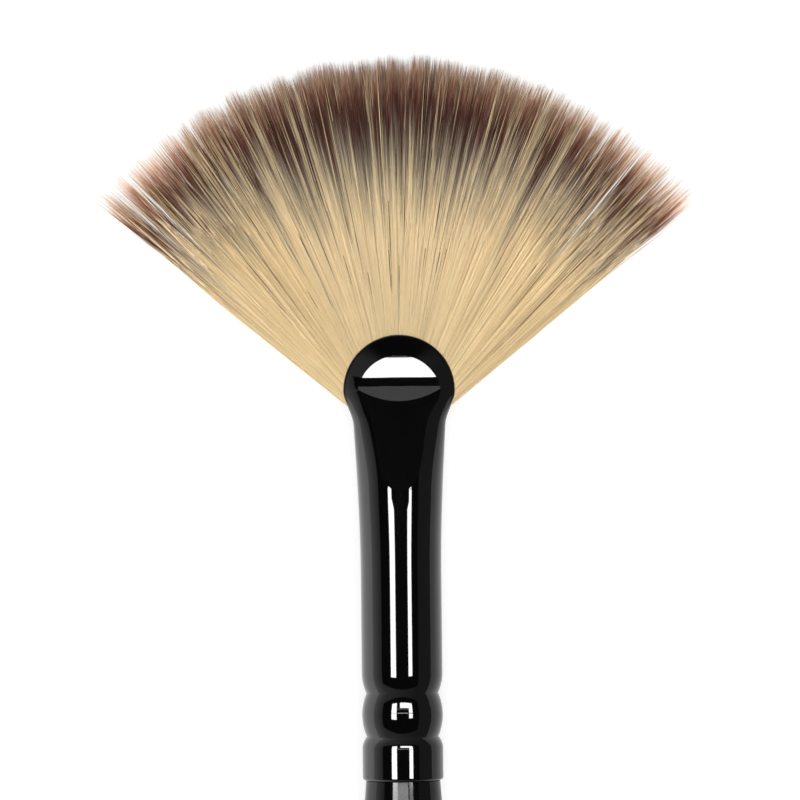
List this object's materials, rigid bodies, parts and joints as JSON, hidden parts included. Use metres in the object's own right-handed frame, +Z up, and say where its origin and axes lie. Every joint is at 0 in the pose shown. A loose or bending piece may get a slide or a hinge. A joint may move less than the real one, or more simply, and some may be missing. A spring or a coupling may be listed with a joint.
{
  "type": "fan makeup brush",
  "caption": "Fan-shaped makeup brush with a lacquered wooden handle, a crimped metal ferrule pressed flat at the top and a two-tone fan of soft bristles.",
  "frame": {"origin": "on the table below the middle of the brush's length and width", "axes": "+Y along the brush from the handle towards the bristle tips, +X across the fan, +Z up from the table"},
  "size_m": [0.0583, 0.1827, 0.0107],
  "materials": {
    "handle_lacquer": "black lacquer, satin gloss",
    "ferrule_enamel": "black enamel, high gloss",
    "glue": "cured glue, hidden",
    "bristle_fibre": "soft synthetic fibre, cream at the root, dark brown towards pale tips"
  },
  "bodies": {
    "root": {"handle": "handle_lacquer", "ferrule": "ferrule_enamel", "glue_plug": "glue", "bristles": "bristle_fibre"}
  },
  "joints": []
}
